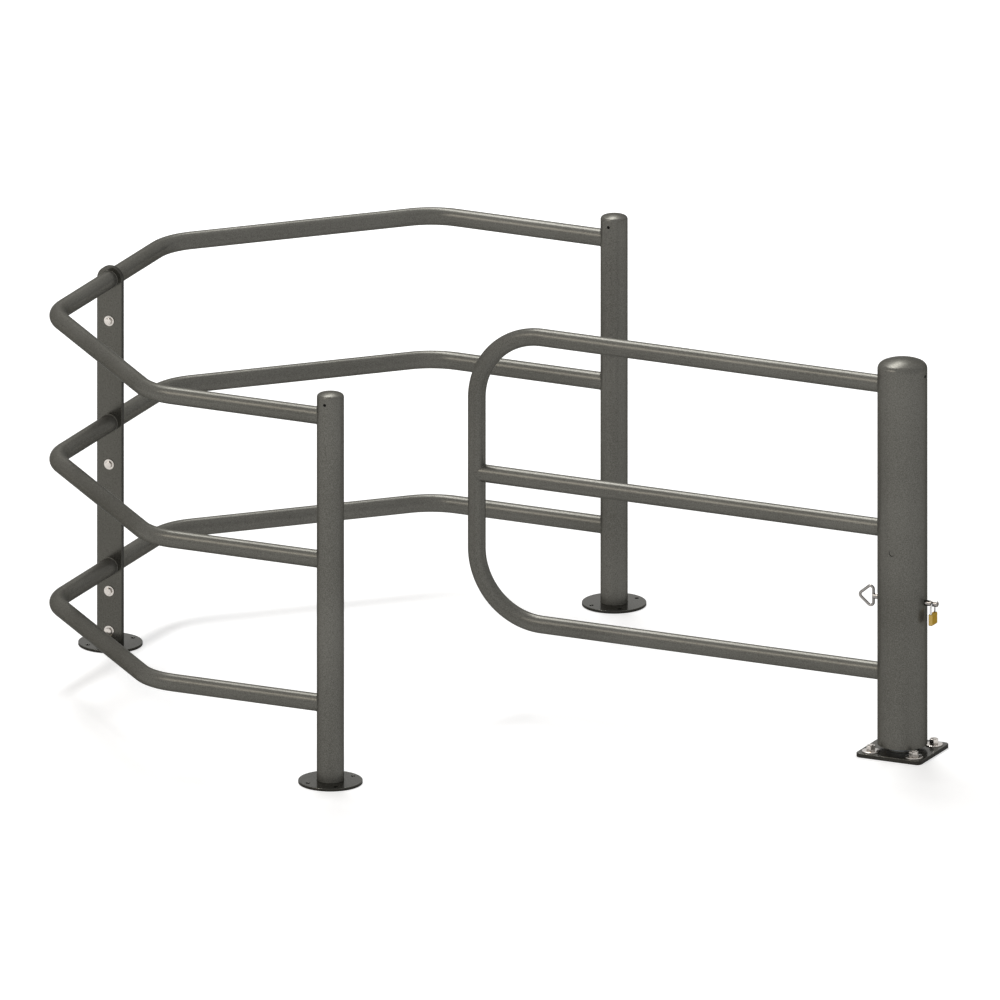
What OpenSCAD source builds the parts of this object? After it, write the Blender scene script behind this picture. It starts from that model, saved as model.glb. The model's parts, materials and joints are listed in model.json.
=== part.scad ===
// Swing barrier: a waist-high tube enclosure, bolted together from two halves, and
// a separate gate post whose leaf swings between the two end posts of the enclosure.
// The origin lies under the middle of the gate post's base plate, on the swing axis.
// The leaf points along -X, the ground is Z = 0, left is the -Y side, right the +Y side.

/* [Layout] */
// Distance from the swing axis to the line of the two end posts
post_line = 1322; // [1200:2:1600]
// Distance from the middle plane to each end post
half_width = 935; // [820:5:1100]
// Distance from the line of the end posts to the joint plates
depth = 1112; // [980:4:1400]
// Plan length of each slanted side, measured along X and along Y
slant = 558; // [400:2:620]

/* [Rails] */
// Outer diameter of every rail tube
rail_d = 50; // [38:1:60]
// Wall of every rail tube
rail_wall = 3; // [2:0.5:5]
// Height of the low rails' middle
low_rail_z = 228; // [200:2:300]
// Height step from one rail to the next
rail_pitch = 418; // [380:2:430]
// Centreline radius of the enclosure's bends
bend_r = 170; // [120:5:200]

/* [End posts] */
// Outer diameter of the end posts
end_post_d = 76.1; // [70:0.1:90]
// Wall of the end posts and their caps
end_post_wall = 3; // [2:0.5:5]
// Length of the end post tubes above the top rails' middle
end_post_over = 59; // [45:1:90]
// Height of the end post caps
end_cap_rise = 14; // [11:0.5:20]
// Radius of the rounded edge of the end post caps
end_cap_edge = 9; // [6:0.5:10]
// Diameter of the vent holes in the posts
vent_d = 6.5; // [4:0.5:9]
// Distance from the top of a post tube down to its vent hole
vent_drop = 15; // [10:1:25]

/* [Flanges] */
// Diameter of the round flanges of the enclosure
flange_d = 180; // [165:5:240]
// Thickness of the round flanges
flange_t = 8; // [6:1:15]
// Diameter of the flanges' anchor holes
flange_hole_d = 11; // [9:1:14]
// Spacing of the anchor holes along X
flange_hole_x = 86; // [80:2:96]
// Spacing of the anchor holes along Y
flange_hole_y = 114; // [106:2:120]

/* [Joint plates] */
// Width of the two joint plates
joint_w = 76; // [66:2:90]
// Thickness of each joint plate
joint_t = 8; // [5:1:12]
// Gap under the joint plate that hangs clear of the flange
joint_foot_gap = 7; // [3:1:12]
// Distance from the upper rails down to the bolt below each of them
joint_bolt_drop = 120; // [70:2:180]
// Distance from the low rail down to the bolt below it
low_bolt_drop = 71; // [60:1:90]
// Height of the lowest bolt
foot_bolt_z = 41; // [34:1:60]
// Thread diameter of the joint bolts
bolt_d = 12; // [10:1:14]
// Diameter of the washers of the joint bolts
bolt_washer_d = 30; // [26:1:34]
// Thickness of the washers of the joint bolts
bolt_washer_t = 2.5; // [1.5:0.5:4]

/* [Base plate] */
// Width of the square base plate
base_w = 200; // [190:5:260]
// Thickness of the base plate
base_t = 12; // [8:1:20]
// Corner radius of the base plate
base_corner_r = 15; // [5:1:25]
// Spacing of the four anchors
anchor_spacing = 132; // [128:2:140]
// Thread diameter of the anchors
anchor_d = 16; // [12:1:18]
// Diameter of the anchor washers
anchor_washer_d = 50; // [36:1:52]
// Thickness of the anchor washers
anchor_washer_t = 3; // [2:0.5:5]
// Length of stud that shows above each anchor nut
anchor_proud = 6; // [2:1:12]

/* [Gate post] */
// Outer diameter of the fixed pivot post
pivot_d = 88.9; // [80:0.1:95]
// Wall of the pivot post
pivot_wall = 8; // [6:0.5:12]
// Distance from the sleeve's top rim down to the top of the pivot post's tube
pivot_drop = 117; // [90:1:160]
// Thickness of the plate that closes the pivot post
pivot_cap_t = 8; // [5:1:12]
// Outer diameter of the sleeve that turns round the pivot post
sleeve_d = 139.7; // [135:0.1:150]
// Wall of the sleeve and its cap
sleeve_wall = 4; // [3:0.5:6]
// Gap between the base plate and the sleeve
sleeve_gap = 14; // [8:1:25]
// Length of the sleeve above the top rail's middle
sleeve_over = 53; // [50:1:90]
// Height of the sleeve's cap
sleeve_cap_rise = 30; // [24:1:40]
// Radius of the rounded edge of the sleeve's cap
sleeve_cap_edge = 20; // [12:1:22]

/* [Bearings] */
// Length of each plastic bush between the pivot post and the sleeve
bush_len = 40; // [20:5:60]
// Distance of the lower bush above the sleeve's bottom edge
bush_inset = 4; // [1:1:10]
// Distance from the top of the pivot post's tube down to the upper bush
bush_drop = 10; // [5:1:30]
// Diameter of the plastic thrust pad
pad_d = 80; // [60:1:84]
// Thickness of the plastic thrust pad
pad_t = 6; // [4:1:10]
// Thickness of the steel plate that rests on the thrust pad
thrust_t = 10; // [6:1:15]
// Running clearance of the bushes and the thrust pad
running_gap = 0.3; // [0.2:0.05:0.5]

/* [Leaf] */
// Distance from the swing axis to the middle of the leaf's end tube
leaf_reach = 1308; // [1100:2:1400]
// Centreline radius of the leaf's two corners
leaf_corner_r = 200; // [120:5:220]

/* [Swing stop] */
// Angle that the leaf swings to each side
swing = 35; // [20:1:50]
// Diameter of the lock pin
pin_d = 16; // [14:1:18]
// Height of the lock pin
pin_z = 444; // [400:2:500]
// Clearance of the lock pin in the slots of the pivot post
slot_gap = 0.5; // [0.3:0.1:1]
// Clearance of the lock pin in the sleeve
pin_gap = 0.25; // [0.15:0.05:0.5]
// Length of pin beyond the sleeve on the padlock's side
pin_end = 39; // [34:1:50]
// Distance from the pin's end to its cross hole
pin_hole_inset = 15; // [12:1:16]
// Height of the guide screw
guide_z = 597; // [560:1:640]
// Diameter of the guide screw
guide_d = 18; // [14:1:20]
// Depth of the guide screw's face below the sleeve's surface
guide_recess = 2; // [1:0.5:3]
// Diameter of the guide screw's tip
guide_tip_d = 8; // [6:1:10]
// Depth of the groove that the tip runs in
groove_depth = 3; // [2:0.5:4]

/* [Pin handle] */
// Distance from the sleeve to the straight side of the handle
handle_gap = 19; // [16:1:30]
// Wire diameter of the handle
handle_wire = 8; // [6:0.5:9]
// Corner radius of the handle's centreline
handle_corner_r = 9; // [7:0.5:10]
// Length from the handle's straight side to the point where its slanted sides meet
handle_len = 46; // [42:1:60]
// Height of the triangle through the middle of the wire, before its corners are rounded
handle_h = 76; // [70:1:90]

/* [Padlock] */
// Width of the padlock's body
lock_w = 36; // [34:1:44]
// Height of the padlock's body
lock_h = 33; // [28:1:40]
// Thickness of the padlock's body
lock_t = 12; // [10:1:16]
// Width of the bevel round the padlock's body
lock_bevel = 1.6; // [0.5:0.1:2.5]
// Wire diameter of the shackle
shackle_d = 6; // [4:0.5:6.5]
// Distance between the middles of the shackle's legs
shackle_w = 28; // [26:0.5:29]
// Length of the shackle's straight legs above the body
shackle_leg = 15; // [12:1:22]
// Length of the shackle's legs inside the body
shackle_seat = 12; // [8:1:16]
// Clearance of the shackle in the pin's cross hole and in the body
shackle_gap = 0.25; // [0.15:0.05:0.4]

/* [Hidden] */
$fn = 64;

left = -1;
right = 1;
// Length by which a cutting shape passes the face that it cuts
over = 1;
// Length by which a bend laps over the straights that it joins
bend_lap = 0.5;
// Step between two surfaces that would otherwise only touch, so that they cut cleanly
hair = 0.2;

mid_rail_z = low_rail_z + rail_pitch;
top_rail_z = low_rail_z + 2 * rail_pitch;
end_post_top = top_rail_z + end_post_over;
joint_x = -post_line - depth;
joint_bolt_z = [foot_bolt_z, low_rail_z - low_bolt_drop,
                mid_rail_z - joint_bolt_drop, top_rail_z - joint_bolt_drop];
bolt_hole_d = bolt_d + 1;

sleeve_bottom = base_t + sleeve_gap;
sleeve_top = top_rail_z + sleeve_over;
sleeve_bore_d = sleeve_d - 2 * sleeve_wall;
pivot_top = sleeve_top - pivot_drop;
pad_z = pivot_top + pivot_cap_t;
thrust_z = pad_z + pad_t + running_gap;

// Hexagon widths and heights follow the thread diameters
bolt_hex = 1.5 * bolt_d;
bolt_head_h = 0.63 * bolt_d;
bolt_nut_h = 0.85 * bolt_d;
anchor_hex = 1.5 * anchor_d;
anchor_nut_h = 0.92 * anchor_d;
anchor_hole_d = anchor_d + 2;
anchor_top = base_t + anchor_washer_t + anchor_nut_h + anchor_proud;

slot_w = pin_d + 2 * slot_gap;
slot_flat_w = slot_w - hair;
groove_w = guide_tip_d + 2;
guide_boss_d = guide_d + 14;
guide_boss_face = sleeve_bore_d / 2 - 12;
guide_shoulder = pivot_d / 2 + 6;
guide_tip_r = pivot_d / 2 - groove_depth + slot_gap;

handle_x = -sleeve_d / 2 - handle_gap;
pin_tip_x = sleeve_d / 2 + pin_end;
pin_chamfer = 1.5;
hang_x = pin_tip_x - pin_hole_inset;
// The cross hole is just wide enough for the shackle's arch, which sags on its way
// through the pin, and the arch hangs with that sag spread evenly about the hole
arch_r = shackle_w / 2;
arch_high = arch_r + shackle_d / 2;
arch_low = sqrt(pow(arch_r - shackle_d / 2, 2) - pow(pin_d / 2, 2));
cross_hole_d = arch_high - arch_low + 2 * shackle_gap;
arch_z = pin_z - (arch_high + arch_low) / 2;
lock_top = arch_z - shackle_leg;

// ---- bent tubes -------------------------------------------------------------

// Signed turn in degrees at point i of a path, taken as a ring of points
function turn_at(pts, i) =
    let (n = len(pts), a = pts[(i + n - 1) % n], b = pts[i], c = pts[(i + 1) % n],
         u = b - a, v = c - b)
    atan2(u.x * v.y - u.y * v.x, u * v);

// Length that the bend at point i takes from the straights on each side of it
function trim_at(pts, i, r, closed) =
    !closed && (i == 0 || i == len(pts) - 1) ? 0 : r * tan(abs(turn_at(pts, i)) / 2);

// The path with both of its ends drawn out by e
function drawn_out(pts, e) =
    let (n = len(pts), first = pts[0] - pts[1], last = pts[n - 1] - pts[n - 2])
    [for (i = [0 : n - 1])
        i == 0 ? pts[0] + first * e / norm(first)
        : i == n - 1 ? pts[i] + last * e / norm(last) : pts[i]];

// Round bar along a path in the XY plane, with every corner bent to radius r.
// Each bend is a hair thicker than the straights and laps over their ends.
module bent_bar(pts, r, d, closed = false) {
    n = len(pts);
    lap = bend_lap / r * 180 / PI;
    for (i = [0 : closed ? n - 1 : n - 2]) {
        leg = pts[(i + 1) % n] - pts[i];
        start = trim_at(pts, i, r, closed);
        length = norm(leg) - start - trim_at(pts, (i + 1) % n, r, closed);
        translate([pts[i].x, pts[i].y, 0])
            rotate([0, 90, atan2(leg.y, leg.x)])
                translate([0, 0, start])
                    cylinder(d = d, h = length);
    }
    for (i = closed ? [0 : n - 1] : [1 : n - 2]) {
        leg = pts[i] - pts[(i + n - 1) % n];
        turn = turn_at(pts, i);
        translate([pts[i].x, pts[i].y, 0])
            rotate([0, 0, atan2(leg.y, leg.x)])
                translate([-trim_at(pts, i, r, closed), sign(turn) * r, 0])
                    rotate([0, 0, (turn > 0 ? -90 : 90 + turn) - lap])
                        rotate_extrude(angle = abs(turn) + 2 * lap)
                            translate([r, 0])
                                circle(d = d + hair);
    }
}

// The same as a tube with an open bore
module bent_tube(pts, r, d, wall) {
    difference() {
        bent_bar(pts, r, d);
        bent_bar(drawn_out(pts, over), r, d - 2 * wall);
    }
}

// ---- shapes that repeat -----------------------------------------------------

module ring(outer_d, inner_d, h) {
    difference() {
        cylinder(d = outer_d, h = h);
        translate([0, 0, -over])
            cylinder(d = inner_d, h = h + 2 * over);
    }
}

// Half outline of a dished cap: a crown arc that runs into a rounded edge
module cap_outline(r, rise, edge, inset) {
    flat = r - edge;
    crown = (pow(edge, 2) - pow(flat, 2) - pow(rise, 2)) / (2 * (edge - rise));
    meet = flat * (crown - inset) / (crown - edge);
    intersection() {
        translate([0, rise - crown])
            circle(crown - inset, $fn = 180);
        square([meet, rise]);
    }
    intersection() {
        translate([flat, 0])
            circle(edge - inset);
        square([r, rise]);
    }
}

// Pressed cap with the given wall, open below
module dished_cap(d, rise, edge, wall) {
    rotate_extrude()
        difference() {
            cap_outline(d / 2, rise, edge, 0);
            cap_outline(d / 2, rise, edge, wall);
        }
}

// Hexagon across flats, with the corners of its upper face turned off
module hexagon(flats, h) {
    corners = flats / cos(30);
    intersection() {
        cylinder(d = corners, h = h, $fn = 6);
        union() {
            cylinder(d = corners + over, h = h * 0.85);
            translate([0, 0, h * 0.85])
                cylinder(d1 = corners, d2 = flats * 0.95, h = h * 0.15);
        }
    }
}

module round_cornered(w, r) {
    square([w, w - 2 * r], center = true);
    square([w - 2 * r, w], center = true);
    for (x = [-1, 1], y = [-1, 1])
        translate([x, y] * (w / 2 - r))
            circle(r);
}

module bevelled(w, h, bevel) {
    polygon([[-w / 2 + bevel, 0], [w / 2 - bevel, 0], [w / 2, bevel],
             [w / 2, h - bevel], [w / 2 - bevel, h], [-w / 2 + bevel, h],
             [-w / 2, h - bevel], [-w / 2, bevel]]);
}

// Places its child with its +Z axis along -Y, at height z on the swing axis
module facing_left(z) {
    translate([0, 0, z])
        rotate([90, 0, 0])
            children();
}

// ---- places -----------------------------------------------------------------

module at_end_post(side) {
    translate([-post_line, side * half_width, 0])
        children();
}

module at_joint() {
    translate([joint_x, 0, 0])
        children();
}

// Places its child at every joint bolt, with +Z along -Y and Z = 0 between the plates
module at_joint_bolts() {
    for (z = joint_bolt_z)
        at_joint()
            facing_left(z)
                children();
}

module at_anchors() {
    for (x = [-1, 1], y = [-1, 1])
        translate([x, y, 0] * anchor_spacing / 2)
            children();
}

// ---- enclosure --------------------------------------------------------------

module end_post(side) {
    color("dimgray")
        at_end_post(side)
            difference() {
                translate([0, 0, flange_t])
                    ring(end_post_d, end_post_d - 2 * end_post_wall, end_post_top - flange_t);
                facing_left(end_post_top - vent_drop)
                    cylinder(d = vent_d, h = end_post_d);
            }
}

module post_cap(side) {
    color("dimgray")
        at_end_post(side)
            translate([0, 0, end_post_top])
                dished_cap(end_post_d, end_cap_rise, end_cap_edge, end_post_wall);
}

module flange() {
    color("dimgray")
        difference() {
            cylinder(d = flange_d, h = flange_t);
            for (x = [-1, 1], y = [-1, 1])
                translate([x * flange_hole_x / 2, y * flange_hole_y / 2, -over])
                    cylinder(d = flange_hole_d, h = flange_t + 2 * over);
        }
}

// Flat bar with a rounded top, centred on the top rail, drilled for the joint bolts
module joint_plate(side) {
    foot = flange_t + (side == left ? joint_foot_gap : 0);
    color("dimgray")
        difference() {
            at_joint()
                translate([0, side == left ? 0 : joint_t, 0])
                    rotate([90, 0, 0])
                        linear_extrude(joint_t) {
                            translate([-joint_w / 2, foot])
                                square([joint_w, top_rail_z - foot]);
                            translate([0, top_rail_z])
                                circle(d = joint_w);
                        }
            at_joint_bolts()
                translate([0, 0, -joint_t - over])
                    cylinder(d = bolt_hole_d, h = 2 * (joint_t + over));
        }
}

// One bent rail, from its coped end at the end post to its joint plate
module half_rail(side, z) {
    corner = half_width - slant;
    path = [[-post_line, side * half_width], [joint_x + slant, side * half_width],
            [joint_x, side * corner], [joint_x, side * joint_t]];
    color("dimgray")
        difference() {
            translate([0, 0, z])
                bent_tube(path, bend_r, rail_d, rail_wall);
            at_end_post(side)
                cylinder(d = end_post_d, h = end_post_top);
        }
}

module joint_bolts() {
    stack = joint_t + bolt_washer_t;
    color("silver")
        at_joint_bolts() {
            translate([0, 0, stack])
                hexagon(bolt_hex, bolt_head_h);
            translate([0, 0, -stack - bolt_nut_h - 2])
                cylinder(d = bolt_d, h = 2 * stack + bolt_nut_h + 2);
        }
}

module joint_washers() {
    color("silver")
        at_joint_bolts()
            for (face = [joint_t, -joint_t - bolt_washer_t])
                translate([0, 0, face])
                    ring(bolt_washer_d, bolt_hole_d, bolt_washer_t);
}

module joint_nuts() {
    color("silver")
        at_joint_bolts()
            translate([0, 0, -joint_t - bolt_washer_t])
                mirror([0, 0, 1])
                    difference() {
                        hexagon(bolt_hex, bolt_nut_h);
                        translate([0, 0, -over])
                            cylinder(d = bolt_d, h = bolt_nut_h + 2 * over);
                    }
}

// ---- gate post, fixed pieces ------------------------------------------------

module base_plate() {
    color("dimgray")
        difference() {
            linear_extrude(base_t)
                round_cornered(base_w, base_corner_r);
            at_anchors()
                translate([0, 0, -over])
                    cylinder(d = anchor_hole_d, h = base_t + 2 * over);
        }
}

module anchor_studs() {
    color("silver")
        at_anchors() {
            cylinder(d = anchor_d, h = anchor_top - 1);
            translate([0, 0, anchor_top - 1])
                cylinder(d1 = anchor_d, d2 = anchor_d - 2, h = 1);
        }
}

module anchor_washers() {
    color("silver")
        at_anchors()
            translate([0, 0, base_t])
                ring(anchor_washer_d, anchor_d + 1, anchor_washer_t);
}

module anchor_nuts() {
    color("silver")
        at_anchors()
            translate([0, 0, base_t + anchor_washer_t])
                difference() {
                    hexagon(anchor_hex, anchor_nut_h);
                    translate([0, 0, -over])
                        cylinder(d = anchor_d, h = anchor_nut_h + 2 * over);
                }
}

// Slot round each side of the pivot post that lets the pin swing with the sleeve
module pin_slots() {
    reach = sleeve_d / 2;
    for (side = [0, 180])
        rotate([0, 0, side])
            translate([0, 0, pin_z]) {
                translate([0, 0, -slot_flat_w / 2])
                    linear_extrude(slot_flat_w)
                        polygon([[0, 0], reach * [1, -tan(swing)], reach * [1, tan(swing)]]);
                for (end = [-swing, swing])
                    rotate([0, 90, end])
                        cylinder(d = slot_w, h = reach);
            }
}

// Fixed post with the two pin slots and a groove for the guide screw's tip
module pivot_post() {
    color("gray")
        difference() {
            translate([0, 0, base_t])
                ring(pivot_d, pivot_d - 2 * pivot_wall, pivot_top - base_t);
            pin_slots();
            translate([0, 0, guide_z - groove_w / 2])
                ring(pivot_d + 2 * over, pivot_d - 2 * groove_depth, groove_w);
        }
}

module pivot_cap() {
    color("gray")
        translate([0, 0, pivot_top])
            cylinder(d = pivot_d, h = pivot_cap_t);
}

module thrust_pad() {
    color("ivory")
        translate([0, 0, pad_z])
            cylinder(d = pad_d, h = pad_t);
}

// ---- leaf -------------------------------------------------------------------

// Tube that turns round the pivot post, with its pin holes, vent and screw boss
module swing_sleeve() {
    color("dimgray")
        difference() {
            union() {
                translate([0, 0, sleeve_bottom])
                    ring(sleeve_d, sleeve_bore_d, sleeve_top - sleeve_bottom);
                facing_left(guide_z)
                    translate([0, 0, guide_boss_face])
                        cylinder(d = guide_boss_d, h = sleeve_d / 2 - sleeve_wall / 2 - guide_boss_face);
            }
            translate([0, 0, pin_z])
                rotate([0, 90, 0])
                    cylinder(d = pin_d + 2 * pin_gap, h = 2 * sleeve_d, center = true);
            translate([0, 0, sleeve_top - vent_drop])
                rotate([0, 90, 0])
                    cylinder(d = vent_d, h = sleeve_d);
            facing_left(guide_z)
                cylinder(d = guide_d, h = sleeve_d);
        }
}

module sleeve_cap() {
    color("dimgray")
        translate([0, 0, sleeve_top])
            dished_cap(sleeve_d, sleeve_cap_rise, sleeve_cap_edge, sleeve_wall);
}

module thrust_plate() {
    color("gray")
        translate([0, 0, thrust_z])
            cylinder(d = sleeve_bore_d, h = thrust_t);
}

module bush(z) {
    color("ivory")
        translate([0, 0, z])
            ring(sleeve_bore_d, pivot_d + 2 * running_gap, bush_len);
}

// Outer tube of the leaf, both ends coped to the sleeve
module leaf_hoop() {
    path = [[0, low_rail_z], [-leaf_reach, low_rail_z],
            [-leaf_reach, top_rail_z], [0, top_rail_z]];
    color("dimgray")
        difference() {
            rotate([90, 0, 0])
                bent_tube(path, leaf_corner_r, rail_d, rail_wall);
            cylinder(d = sleeve_d, h = sleeve_top);
        }
}

// Middle tube of the leaf, coped to the sleeve and to the hoop
module leaf_mid_rail() {
    // The end stops just short of the hoop's middle, so that the cope has no feather edge
    relief = 2;
    color("dimgray")
        difference() {
            translate([-leaf_reach + relief, 0, mid_rail_z])
                rotate([0, 90, 0])
                    ring(rail_d, rail_d - 2 * rail_wall, leaf_reach - relief);
            cylinder(d = sleeve_d, h = sleeve_top);
            translate([-leaf_reach, 0, mid_rail_z - rail_d])
                cylinder(d = rail_d, h = 2 * rail_d);
        }
}

// Socket screw whose tip runs in the pivot post's groove and keeps the sleeve down
module guide_screw() {
    face = sleeve_d / 2 - guide_recess;
    socket = guide_d / 2;
    color("dimgray")
        facing_left(guide_z)
            difference() {
                union() {
                    translate([0, 0, guide_tip_r])
                        cylinder(d = guide_tip_d, h = face - guide_tip_r);
                    translate([0, 0, guide_shoulder])
                        cylinder(d = guide_d, h = face - guide_shoulder);
                }
                translate([0, 0, face - socket / 2])
                    cylinder(d = socket, h = socket, $fn = 6);
            }
}

// Pin with a bevelled tip and a cross hole, coped at its other end to the handle
module lock_pin() {
    color("silver")
        difference() {
            translate([0, 0, pin_z])
                rotate([0, 90, 0]) {
                    translate([0, 0, handle_x])
                        cylinder(d = pin_d, h = pin_tip_x - pin_chamfer - handle_x);
                    translate([0, 0, pin_tip_x - pin_chamfer])
                        cylinder(d1 = pin_d, d2 = pin_d - 2 * pin_chamfer, h = pin_chamfer);
                }
            translate([hang_x, 0, pin_z])
                rotate([90, 0, 0])
                    cylinder(d = cross_hole_d, h = 2 * pin_d, center = true);
            translate([handle_x, 0, pin_z - pin_d])
                cylinder(d = handle_wire, h = 2 * pin_d);
        }
}

// Triangular ring of bent wire
module pin_handle() {
    triangle = [[0, handle_h / 2], [-handle_len, 0], [0, -handle_h / 2]];
    color("silver")
        translate([handle_x, 0, pin_z])
            rotate([90, 0, 0])
                bent_bar(triangle, handle_corner_r, handle_wire, closed = true);
}

// ---- padlock ----------------------------------------------------------------

// Block bevelled on every edge, with holes for the shackle and a lock barrel below
module padlock_body() {
    barrel_d = lock_t * 0.75;
    barrel_depth = 1;
    key_w = 1.6;
    color("goldenrod")
        translate([hang_x, 0, lock_top - lock_h])
            difference() {
                intersection() {
                    rotate([90, 0, 90])
                        linear_extrude(lock_t, center = true)
                            bevelled(lock_w, lock_h, lock_bevel);
                    rotate([90, 0, 0])
                        linear_extrude(lock_w, center = true)
                            bevelled(lock_t, lock_h, lock_bevel);
                    linear_extrude(lock_h)
                        translate([0, -lock_w / 2])
                            bevelled(lock_t, lock_w, lock_bevel);
                }
                for (side = [-1, 1])
                    translate([0, side * arch_r, lock_h - shackle_seat - over])
                        cylinder(d = shackle_d + 2 * shackle_gap, h = shackle_seat + 2 * over);
                translate([0, 0, -over])
                    cylinder(d = barrel_d, h = over + barrel_depth);
                translate([-key_w / 2, -barrel_d / 3, -over])
                    cube([key_w, barrel_d * 2 / 3, over + lock_h / 5]);
            }
}

module padlock_shackle() {
    color("silver")
        translate([hang_x, 0, arch_z])
            rotate([90, 0, 90]) {
                rotate_extrude(angle = 180)
                    translate([arch_r, 0])
                        circle(d = shackle_d);
                for (side = [-1, 1])
                    translate([side * arch_r, 0, 0])
                        rotate([90, 0, 0])
                            cylinder(d = shackle_d, h = shackle_leg + shackle_seat);
            }
}

// ---- assembly ---------------------------------------------------------------

end_post(left);  // end_post_left
end_post(right);  // end_post_right
post_cap(left);  // post_cap_left
post_cap(right);  // post_cap_right
at_end_post(left) flange();  // flange_left
at_end_post(right) flange();  // flange_right
at_joint() flange();  // flange_centre
joint_plate(left);  // joint_plate_left
joint_plate(right);  // joint_plate_right
half_rail(left, top_rail_z);  // rail_top_left
half_rail(left, mid_rail_z);  // rail_mid_left
half_rail(left, low_rail_z);  // rail_low_left
half_rail(right, top_rail_z);  // rail_top_right
half_rail(right, mid_rail_z);  // rail_mid_right
half_rail(right, low_rail_z);  // rail_low_right
joint_bolts();
joint_washers();
joint_nuts();
base_plate();
pivot_post();
pivot_cap();
thrust_pad();
anchor_studs();
anchor_nuts();
anchor_washers();
swing_sleeve();
sleeve_cap();
thrust_plate();
bush(sleeve_bottom + bush_inset);  // lower_bush
bush(pivot_top - bush_drop - bush_len);  // upper_bush
leaf_hoop();
leaf_mid_rail();
guide_screw();
lock_pin();
pin_handle();
padlock_body();
padlock_shackle();
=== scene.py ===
"""Looks of the swing barrier: powder-coated tube and plate, zinc-plated fixings, brass padlock."""

import json
from math import cos, pi, radians, sin, sqrt, tan

import bmesh
import bpy
from mathutils import Matrix, Quaternion, Vector


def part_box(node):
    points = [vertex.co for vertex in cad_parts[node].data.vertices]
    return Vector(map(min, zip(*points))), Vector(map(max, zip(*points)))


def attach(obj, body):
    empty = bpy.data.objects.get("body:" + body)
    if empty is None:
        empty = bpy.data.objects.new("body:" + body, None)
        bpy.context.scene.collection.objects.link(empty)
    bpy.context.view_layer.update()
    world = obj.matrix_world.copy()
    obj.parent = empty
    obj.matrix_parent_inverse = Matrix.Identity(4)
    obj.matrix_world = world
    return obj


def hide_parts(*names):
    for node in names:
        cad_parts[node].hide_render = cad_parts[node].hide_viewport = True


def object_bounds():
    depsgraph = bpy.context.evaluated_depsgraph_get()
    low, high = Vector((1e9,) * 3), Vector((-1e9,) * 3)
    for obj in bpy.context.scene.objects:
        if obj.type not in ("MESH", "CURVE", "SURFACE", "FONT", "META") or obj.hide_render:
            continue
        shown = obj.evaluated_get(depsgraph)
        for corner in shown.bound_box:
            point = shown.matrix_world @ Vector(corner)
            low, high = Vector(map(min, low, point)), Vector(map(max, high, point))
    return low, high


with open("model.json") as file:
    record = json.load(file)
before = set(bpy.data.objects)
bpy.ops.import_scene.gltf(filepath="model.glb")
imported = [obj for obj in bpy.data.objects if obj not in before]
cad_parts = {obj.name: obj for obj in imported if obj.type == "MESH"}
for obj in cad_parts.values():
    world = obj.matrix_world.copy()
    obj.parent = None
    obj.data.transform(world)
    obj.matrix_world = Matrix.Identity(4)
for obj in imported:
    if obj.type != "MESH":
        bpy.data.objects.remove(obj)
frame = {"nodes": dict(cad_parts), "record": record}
cad_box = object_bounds()
MM = 0.001


# ---- camera and lamps -------------------------------------------------------

VIEW_WIDTH = 2.7855
VIEW_CENTRE = (-1.1026, -0.2877, 0.6712)
VIEW_AZIMUTH, VIEW_ELEVATION, VIEW_DISTANCE = 25, 17, 12
LAMP_CENTRE, LAMP_DISTANCE = (-1.2, 0, 0.6), 18


def aim(thing, target, azimuth, elevation, distance):
    """Puts a camera or lamp round a point and turns it to look at that point. Azimuth 0 looks from
    the left side, -Y, and 90 from the gate post's end, +X."""
    a, e = radians(azimuth), radians(elevation)
    back = Vector((sin(a) * cos(e), -cos(a) * cos(e), sin(e)))
    thing.location = Vector(target) + back * distance
    thing.rotation_mode = "QUATERNION"
    thing.rotation_quaternion = (-back).to_track_quat("-Z", "Y")


def place_camera():
    """A parallel projection of the left side, from a little round the gate post's end and above."""
    view = bpy.data.cameras.new("camera")
    view.type, view.ortho_scale = "ORTHO", VIEW_WIDTH
    view.clip_start, view.clip_end = 0.1, 100
    camera = bpy.data.objects.new("camera", view)
    bpy.context.scene.collection.objects.link(camera)
    aim(camera, VIEW_CENTRE, VIEW_AZIMUTH, VIEW_ELEVATION, VIEW_DISTANCE)
    bpy.context.scene.camera = camera


def soft_box(name, azimuth, elevation, width, height, radiance, lean=0, colour="#FFFFFF", mirrored=True):
    """A far rectangular lamp, as wide and high as the given angles look from the barrier, with the
    given brightness of its face. Lean turns it about the line to the barrier. A lamp that isn't
    mirrored lights the coat and leaves no gleam on it."""
    lamp = bpy.data.lights.new(name, "AREA")
    lamp.shape = "RECTANGLE"
    lamp.size, lamp.size_y = (2 * LAMP_DISTANCE * tan(radians(angle) / 2) for angle in (width, height))
    lamp.energy = radiance * pi * lamp.size * lamp.size_y
    lamp.color = linear(colour)[:3]
    holder = bpy.data.objects.new(name, lamp)
    holder.visible_glossy = mirrored
    bpy.context.scene.collection.objects.link(holder)
    aim(holder, LAMP_CENTRE, azimuth, elevation, LAMP_DISTANCE)
    holder.rotation_quaternion @= Quaternion((0, 0, 1), radians(lean))


# ---- nodes and colours ------------------------------------------------------


def linear(code):
    """An sRGB hex colour as linear red, green, blue and alpha."""
    parts = [int(code[i : i + 2], 16) / 255 for i in (1, 3, 5)]
    return [v / 12.92 if v <= 0.04045 else ((v + 0.055) / 1.055) ** 2.4 for v in parts] + [1]


def node(tree, kind, inputs=None, **settings):
    """Adds a node, gives it its settings, and fills its inputs with values or other nodes' outputs."""
    made = tree.nodes.new(kind)
    for key, value in settings.items():
        setattr(made, key, value)
    for key, value in (inputs or {}).items():
        if isinstance(value, bpy.types.NodeSocket):
            tree.links.new(value, made.inputs[key])
        else:
            made.inputs[key].default_value = value
    return made


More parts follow.
